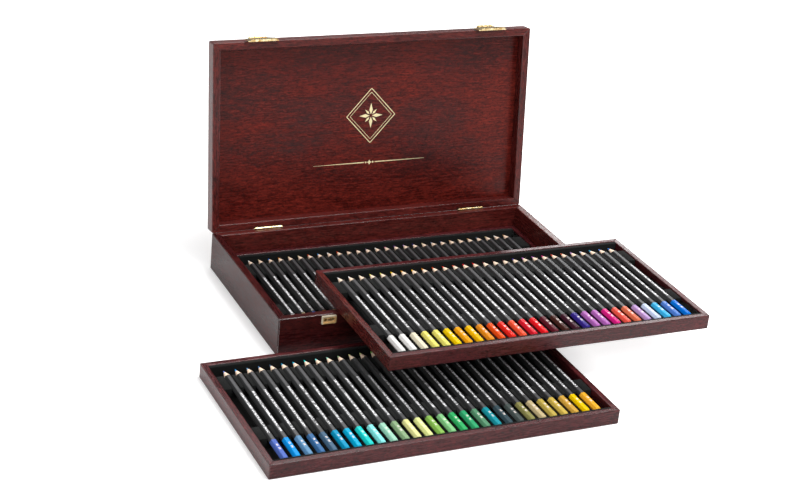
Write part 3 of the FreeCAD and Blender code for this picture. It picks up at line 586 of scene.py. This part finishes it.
def row_tree():
    """Geometry nodes that lay a part in a row, each copy with its number in the row."""
    tree = bpy.data.node_groups.new("row of pencils", "GeometryNodeTree")
    tree.interface.new_socket("Geometry", in_out="INPUT", socket_type="NodeSocketGeometry")
    for name, kind in [("Part", "NodeSocketObject"), ("Count", "NodeSocketInt"),
                       ("Pitch", "NodeSocketFloat"), ("Finish", "NodeSocketMaterial")]:
        tree.interface.new_socket(name, in_out="INPUT", socket_type=kind)
    tree.interface.new_socket("Geometry", in_out="OUTPUT", socket_type="NodeSocketGeometry")
    given = tree.nodes.new("NodeGroupInput").outputs
    step = add(tree, "ShaderNodeCombineXYZ", {0: given["Pitch"]}).outputs[0]
    line = add(tree, "GeometryNodeMeshLine", {"Count": given["Count"], "Offset": step})
    part = add(tree, "GeometryNodeObjectInfo", {"Object": given["Part"]}).outputs["Geometry"]
    row = add(tree, "GeometryNodeInstanceOnPoints", {"Points": line.outputs[0], "Instance": part})
    number = add(tree, "GeometryNodeInputIndex").outputs[0]
    numbered = add(tree, "GeometryNodeStoreNamedAttribute",
                   {"Geometry": row.outputs[0], "Name": "pencil_number", "Value": number},
                   data_type="FLOAT", domain="INSTANCE")
    real = add(tree, "GeometryNodeRealizeInstances", {"Geometry": numbered.outputs[0]})
    finish = add(tree, "GeometryNodeSetMaterial",
                 {"Geometry": real.outputs[0], "Material": given["Finish"]})
    result = tree.nodes.new("NodeGroupOutput").inputs
    tree.links.new(finish.outputs[0], result[0])
    return tree


def input_key(tree, name):
    return [item.identifier for item in tree.interface.items_tree
            if item.name == name and item.in_out == "INPUT"][0]


def lay_row(name, tree, part, material, tray, colours):
    """One tray's row of one pencil part, in place, dyed pencil by pencil."""
    piece = bpy.data.objects.new(name, bpy.data.meshes.new(name))
    bpy.context.scene.collection.objects.link(piece)
    row = piece.modifiers.new("row", "NODES")
    row.node_group = tree
    for key, value in [("Part", part), ("Count", PENCIL_COUNT), ("Pitch", tray["pitch"]),
                       ("Finish", material)]:
        row[input_key(tree, key)] = value
    settle(piece)
    piece.data.transform(tray["place"] @ Matrix.Translation(tray["first_pencil"]))
    numbers = piece.data.attributes["pencil_number"].data
    dye = piece.data.attributes.new("dye", "FLOAT_COLOR", "POINT")
    for point, number in enumerate(numbers):
        dye.data[point].color = srgb(*PENCIL_COLOURS[colours[round(number.value)]])
    start = piece.data.attributes.new("print_start", "FLOAT", "POINT")
    start.data.foreach_set("value", [float(tray["print_start"])] * len(numbers))
    return piece


def tray_facts(name):
    """Where a tray stands and where its first pencil's dipped end is, in the tray."""
    low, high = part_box(f"{name}_tray_base")
    front_low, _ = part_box(f"{name}_tray_front")
    yaw = FRONT_TRAY_YAW if name == "front" else 0.0
    place = Matrix.Translation(((low.x + high.x) / 2, (low.y + high.y) / 2, front_low.z))
    row_low, row_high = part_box(f"{'upper' if name == 'front' else name}_pencil_casings")
    base_low, base_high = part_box(f"{'upper' if name == 'front' else name}_tray_base")
    row = row_high.x - row_low.x - 2 * CORNER_RADIUS
    first_x = row_low.x + CORNER_RADIUS - (base_low.x + base_high.x) / 2
    first_y = row_low.y - (base_low.y + base_high.y) / 2
    tray_low, tray_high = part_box("lower_tray_front")
    axis = tray_high.z - tray_low.z - FLATS / 2
    return {
        "place": place @ Matrix.Rotation(yaw, 4, "Z"),
        "pitch": row / (PENCIL_COUNT - 1),
        "first_pencil": Vector((first_x, first_y, axis)),
        "print_start": PRINT_START[name],
    }


def pencil_place(tree):
    """The pencil's number in its row, the millimetres along it and the column around it."""
    uv = add(tree, "ShaderNodeUVMap", uv_map="barrel").outputs[0]
    parts = add(tree, "ShaderNodeSeparateXYZ", {0: uv}).outputs
    number = add(tree, "ShaderNodeAttribute", attribute_name="pencil_number").outputs["Fac"]
    along = maths(tree, "MULTIPLY", parts[1], PENCIL_LENGTH / MM)
    around = maths(tree, "MULTIPLY", parts[0], len(COLUMNS))
    return number, along, around


def within(tree, value, low, high):
    return maths(tree, "MULTIPLY", maths(tree, "GREATER_THAN", value, low),
                 maths(tree, "LESS_THAN", value, high))


def on_top_flat(tree, around, half_width):
    aside = maths(tree, "ABSOLUTE", maths(tree, "SUBTRACT", around, TOP_COLUMN))
    return span(tree, aside, half_width, half_width + 0.1, 1.0, 0.0)


def barrel_lacquer():
    """Satin charcoal lacquer, lighter on the top flat as a painted sheen and darker on the sides as
    painted shade, with a line of fine silver print along the top flat.
    """
    material, tree, shader = new_material("charcoal lacquer")
    number, along, around = pencil_place(tree)
    start = add(tree, "ShaderNodeAttribute", attribute_name="print_start").outputs["Fac"]
    printed = within(tree, along, start, PRINT_END)
    cell = add(tree, "ShaderNodeCombineXYZ", {
        0: maths(tree, "FLOOR", maths(tree, "MULTIPLY", along, 0.9)),
        1: maths(tree, "FLOOR", maths(tree, "MULTIPLY", around, 2.0)),
        2: number,
    }).outputs[0]
    strokes = add(tree, "ShaderNodeTexWhiteNoise", {"Vector": cell}).outputs["Value"]
    beat = add(tree, "ShaderNodeCombineXYZ", {
        0: maths(tree, "MULTIPLY", along, 0.32), 1: maths(tree, "MULTIPLY", number, 3.7),
    }).outputs[0]
    words = span(tree, noise(tree, beat, 1.0, 2.0, 0.7), 0.40, 0.52, 0.3, 1.0)
    share = maths(tree, "MULTIPLY", maths(tree, "GREATER_THAN", strokes, 0.35), words)
    share = maths(tree, "MULTIPLY", share, on_top_flat(tree, around, 0.9))
    share = maths(tree, "MULTIPLY", share, printed)
    place = object_place(tree)
    dust = noise(tree, place, 900, 2.0)
    # Painted light: darker sides and a lighter top flat, a painted sheen, each varied by the dust noise.
    sides = mix_colours(tree, dust, srgb(24, 25, 26), srgb(36, 37, 38))
    top = mix_colours(tree, dust, srgb(56, 56, 58), srgb(74, 74, 76))
    base = mix_colours(tree, on_top_flat(tree, around, 1.1), sides, top)
    colour = mix_colours(tree, share, base, SILVER)
    tree.links.new(colour, shader.inputs["Base Color"])
    tree.links.new(span(tree, share, 0, 1, 0.5, 0.35), shader.inputs["Roughness"])
    tree.links.new(bump(tree, dust, 0.03 * MM, 0.4), shader.inputs["Normal"])
    set_shader(shader, Specular_IOR_Level=0.7)
    return material


def cap_lacquer():
    """Dipped gloss lacquer in each pencil's own colour, with two silver dashes on top."""
    material, tree, shader = new_material("dipped lacquer")
    dye = add(tree, "ShaderNodeAttribute", attribute_name="dye").outputs["Color"]
    ripple = noise(tree, object_place(tree), 500, 2.0)
    colour = mix_colours(tree, span(tree, ripple, 0.3, 0.7, 0.20, 0.32), dye, (0, 0, 0, 1))
    _, along, around = pencil_place(tree)
    dashes = maths(tree, "ADD", within(tree, along, *FIRST_DASH),
                   within(tree, along, *SECOND_DASH))
    dashes = maths(tree, "MULTIPLY", dashes, on_top_flat(tree, around, 0.8))
    flakes = noise(tree, object_place(tree), 1100, 1.0)
    dashes = maths(tree, "MULTIPLY", dashes, span(tree, flakes, 0.42, 0.56, 0.25, 0.9))
    colour = mix_colours(tree, dashes, colour, CAP_SILVER)
    tree.links.new(colour, shader.inputs["Base Color"])
    tree.links.new(bump(tree, ripple, 0.06 * MM, 0.3), shader.inputs["Normal"])
    set_shader(shader, Roughness=0.25, Specular_IOR_Level=0.08)
    return material


def cedar_wood():
    material, tree, shader = new_material("bare cedar")
    place = object_place(tree)
    fibres = noise(tree, stretch(tree, place, (2600, 260, 2600)), 1.0, 3.0)
    colour = mix_colours(tree, span(tree, fibres, 0.3, 0.7), srgb(248, 200, 164),
                         srgb(255, 246, 228))
    tree.links.new(colour, shader.inputs["Base Color"])
    tree.links.new(bump(tree, fibres, 0.05 * MM, 0.6), shader.inputs["Normal"])
    set_shader(shader, Roughness=0.7)
    return material


def lead_wax():
    material, tree, shader = new_material("coloured lead")
    dye = add(tree, "ShaderNodeAttribute", attribute_name="dye").outputs["Color"]
    grains = noise(tree, object_place(tree), 3000, 2.0)
    colour = mix_colours(tree, span(tree, grains, 0.3, 0.7, 0.0, 0.1), dye, (0, 0, 0, 1))
    tree.links.new(colour, shader.inputs["Base Color"])
    tree.links.new(bump(tree, grains, 0.04 * MM, 0.5), shader.inputs["Normal"])
    set_shader(shader, Roughness=0.5)
    return material


def make_pencils():
    parts = pencil_parts()
    finishes = {"caps": cap_lacquer(), "barrels": barrel_lacquer(), "cedar": cedar_wood(),
                "points": lead_wax()}
    replaced = {"barrels": "casings", "points": "leads"}
    tree = row_tree()
    for tray in TRAYS:
        facts = tray_facts(tray)
        for part, master in parts.items():
            piece = lay_row(f"{tray}_pencil_{part}", tree, master, finishes[part], facts,
                            PENCIL_ROWS[tray])
            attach(piece, f"{tray}_pencils")
            if part in replaced:
                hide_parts(f"{tray}_pencil_{replaced[part]}")
    for master in parts.values():
        bpy.data.objects.remove(master)


# ---- gold ornament on the lid

def gold_foil():
    material, tree, shader = new_material("gold foil")
    wear = noise(tree, object_place(tree), 900, 3.0)
    colour = mix_colours(tree, wear, srgb(236, 220, 160), srgb(252, 242, 200))
    tree.links.new(colour, shader.inputs["Base Color"])
    tree.links.new(span(tree, wear, 0.3, 0.7, 0.35, 0.6), shader.inputs["Roughness"])
    set_shader(shader, Metallic=0.15)
    return material


def stroke(shape, start, end, width_start, width_end):
    """A straight foil line between two points, which may taper."""
    way = (end - start).normalized()
    side = Vector((-way.y, way.x))
    corners = [start + side * width_start / 2, start - side * width_start / 2,
               end - side * width_end / 2, end + side * width_end / 2]
    shape.faces.new([shape.verts.new((corner.x, corner.y, 0)) for corner in corners])


def lozenge(shape, middle, half_width, half_height, line):
    corners = [middle + Vector((half_width, 0)), middle + Vector((0, half_height)),
               middle - Vector((half_width, 0)), middle - Vector((0, half_height))]
    for start, end in zip(corners, corners[1:] + corners[:1]):
        stroke(shape, start, end, line, line)


def petals(shape, middle, count, inner, outer, width):
    """Slim leaf shapes in a ring."""
    for number in range(count):
        angle = math.tau * number / count
        way = Vector((math.cos(angle), math.sin(angle)))
        side = Vector((-way.y, way.x))
        waist = middle + way * (inner + (outer - inner) * 0.4)
        corners = [middle + way * inner, waist + side * width, middle + way * outer,
                   waist - side * width]
        shape.faces.new([shape.verts.new((corner.x, corner.y, 0)) for corner in corners])


def make_ornament(lid_place):
    """A double lozenge round a leaf rosette, and a tapered flourish nearer the hinges."""
    shape = bmesh.new()
    middle = Vector((0, LOZENGE_MIDDLE))
    lozenge(shape, middle, LOZENGE_HALF_WIDTH, LOZENGE_HALF_HEIGHT, 0.9 * MM)
    lozenge(shape, middle, LOZENGE_HALF_WIDTH * 0.86, LOZENGE_HALF_HEIGHT * 0.86, 0.5 * MM)
    petals(shape, middle, 4, 1.5 * MM, 15 * MM, 2.2 * MM)
    diagonal = bmesh.new()
    petals(diagonal, Vector((0, 0)), 4, 2.5 * MM, 10.5 * MM, 1.3 * MM)
    turned = Matrix.Translation((0, LOZENGE_MIDDLE, 0)) @ Matrix.Rotation(math.radians(45), 4, "Z")
    diagonal.transform(turned)
    spare = bpy.data.meshes.new("diagonal petals")
    diagonal.to_mesh(spare)
    shape.from_mesh(spare)
    diagonal.free()
    bar = Vector((0, FLOURISH_MIDDLE))
    for hand in (-1, 1):
        near = bar + Vector((hand * 7 * MM, 0))
        far = bar + Vector((hand * FLOURISH_HALF_WIDTH, 0))
        stroke(shape, near, far, 1.3 * MM, 0.25 * MM)
        petals(shape, bar + Vector((hand * 4.5 * MM, 0)), 4, 0, 1.6 * MM, 0.55 * MM)
    petals(shape, bar, 4, 0, 3 * MM, 1.1 * MM)
    raised = bmesh.ops.extrude_face_region(shape, geom=list(shape.faces))
    moved = [item for item in raised["geom"] if isinstance(item, bmesh.types.BMVert)]
    bmesh.ops.translate(shape, verts=moved, vec=(0, 0, -FOIL_THICK))
    bmesh.ops.recalc_face_normals(shape, faces=shape.faces)
    mesh = bpy.data.meshes.new("lid_ornament")
    shape.to_mesh(mesh)
    shape.free()
    mesh.transform(lid_place @ Matrix.Translation((0, 0, panel_level())))
    mesh.materials.append(gold_foil())
    piece = bpy.data.objects.new("lid_ornament", mesh)
    bpy.context.scene.collection.objects.link(piece)
    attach(piece, "lid")


# ---- the lid's own coordinates

def lid_hinge():
    return [joint for joint in frame["joints"] if joint["name"] == "lid_hinge"][0]


def lid_tilt():
    return math.radians(-max(lid_hinge()["range_deg"]))


def lid_matrix():
    """From the closed lid's coordinates, about the hinge axis, to the open lid."""
    return Matrix.Translation(lid_hinge()["pos_m"]) @ Matrix.Rotation(lid_tilt(), 4, "X")


def panel_level():
    """The panel's inner face above the hinge axis, in the closed lid's coordinates."""
    back = lid_matrix().inverted()
    vertices = frame["nodes"]["lid_panel"].data.vertices
    return min((back @ vertex.co).z for vertex in vertices)


# ---- floor, light and view

HORIZON_LIGHT = 0.08
ZENITH_LIGHT = 0.7
# The floor's glow to camera and glossy rays is stronger to the right of the case, painted light that
# lightens the shadow there, and full far from it.
FLOOR_GLOW = (0.26, 0.82)
GLOW_CHANGE = (0.05, 0.14)
FAR_FLOOR = (0.7, 1.6)
LAMP_AIM = (0, -0.05, 0.1)
# Each lamp's place, size and power.
LAMPS = {
    "back light": ((0.15, 1.5, 1.9), 1.7, 22),
    "top light": ((0.5, -0.45, 2.1), 0.9, 36),
    "front light": ((-0.2, -2.2, 1.4), 1.4, 18),
    "left light": ((-2.1, -0.7, 0.8), 1.2, 9),
}
# A low white card behind the case's right side, which only glossy edges pick up.
CARD_PLACE = (1.63, 1.9, 1.1)
CARD_AIM = (0.2, 0, 0.04)
CARD_WIDTH = 0.8
CARD_HEIGHT = 0.4
CARD_POWER = 9


def make_floor():
    mesh = bpy.data.meshes.new("floor")
    half = 8.0
    mesh.from_pydata([(-half, -half, 0), (half, -half, 0), (half, half, 0), (-half, half, 0)], [],
                     [(0, 1, 2, 3)])
    floor = bpy.data.objects.new("floor", mesh)
    bpy.context.scene.collection.objects.link(floor)
    material, tree, shader = new_material("white sweep")
    set_shader(shader, Base_Color=(0.85, 0.85, 0.85, 1), Roughness=1.0, Specular_IOR_Level=0.0)
    rays = add(tree, "ShaderNodeLightPath").outputs
    seen = maths(tree, "MAXIMUM", rays["Is Camera Ray"], rays["Is Glossy Ray"])
    place = object_place(tree)
    across = add(tree, "ShaderNodeSeparateXYZ", {0: place}).outputs[0]
    away = add(tree, "ShaderNodeVectorMath", {0: place}, operation="LENGTH").outputs["Value"]
    # Painted light: the glow rising to the right of the case lightens the shadow under the upper tray.
    glow = maths(tree, "MAXIMUM", span(tree, across, *GLOW_CHANGE, *FLOOR_GLOW),
                 span(tree, away, *FAR_FLOOR))
    lift = add(tree, "ShaderNodeEmission", {"Strength": maths(tree, "MULTIPLY", seen, glow)})
    both = add(tree, "ShaderNodeAddShader", {0: shader.outputs[0], 1: lift.outputs[0]})
    tree.links.new(both.outputs[0], tree.nodes["Material Output"].inputs["Surface"])
    mesh.materials.append(material)


def make_world():
    """A soft studio sky, brighter overhead than at the horizon, and white to the camera."""
    world = bpy.data.worlds.new("studio")
    bpy.context.scene.world = world
    world.use_nodes = True
    tree = world.node_tree
    tree.nodes.clear()
    seen = add(tree, "ShaderNodeLightPath").outputs["Is Camera Ray"]
    way = add(tree, "ShaderNodeTexCoord").outputs["Generated"]
    height = add(tree, "ShaderNodeSeparateXYZ", {0: way}).outputs[2]
    glow = span(tree, height, 0.0, 1.0, HORIZON_LIGHT, ZENITH_LIGHT)
    strength = maths(tree, "MAXIMUM", seen, glow)
    background = add(tree, "ShaderNodeBackground", {"Color": (1, 1, 1, 1), "Strength": strength})
    result = add(tree, "ShaderNodeOutputWorld")
    tree.links.new(background.outputs[0], result.inputs["Surface"])


def area_light(name, place, aim, size, power):
    lamp = bpy.data.lights.new(name, "AREA")
    lamp.shape = "SQUARE"
    lamp.size = size
    lamp.energy = power
    item = bpy.data.objects.new(name, lamp)
    item.location = place
    item.rotation_euler = (Vector(aim) - Vector(place)).to_track_quat("-Z", "Y").to_euler()
    bpy.context.scene.collection.objects.link(item)
    return item


def make_lights():
    for name, (place, size, power) in LAMPS.items():
        area_light(name, place, LAMP_AIM, size, power)
    card = area_light("rim card", CARD_PLACE, CARD_AIM, CARD_WIDTH, CARD_POWER)
    card.data.shape = "RECTANGLE"
    card.data.size_y = CARD_HEIGHT
    card.visible_diffuse = False
    card.visible_camera = False


def make_camera():
    camera = bpy.data.cameras.new("view")
    camera.lens = FOCAL_PIXELS / VIEW_WIDTH * SENSOR
    camera.sensor_width = SENSOR
    camera.clip_end = 50
    item = bpy.data.objects.new("view", camera)
    back = -CAMERA_FORWARD.normalized()
    right = (CAMERA_RIGHT - CAMERA_RIGHT.project(back)).normalized()
    up = back.cross(right)
    turn = Matrix((right, up, back)).transposed()
    item.matrix_world = Matrix.Translation(CAMERA_PLACE) @ turn.to_4x4()
    bpy.context.scene.collection.objects.link(item)
    bpy.context.scene.camera = item


dress_wood(-lid_tilt())
dress_brass()
dress_flock()
make_pencils()
make_ornament(lid_matrix())
make_floor()
make_world()
make_lights()
make_camera()
bpy.context.scene.view_settings.view_transform = "Standard"
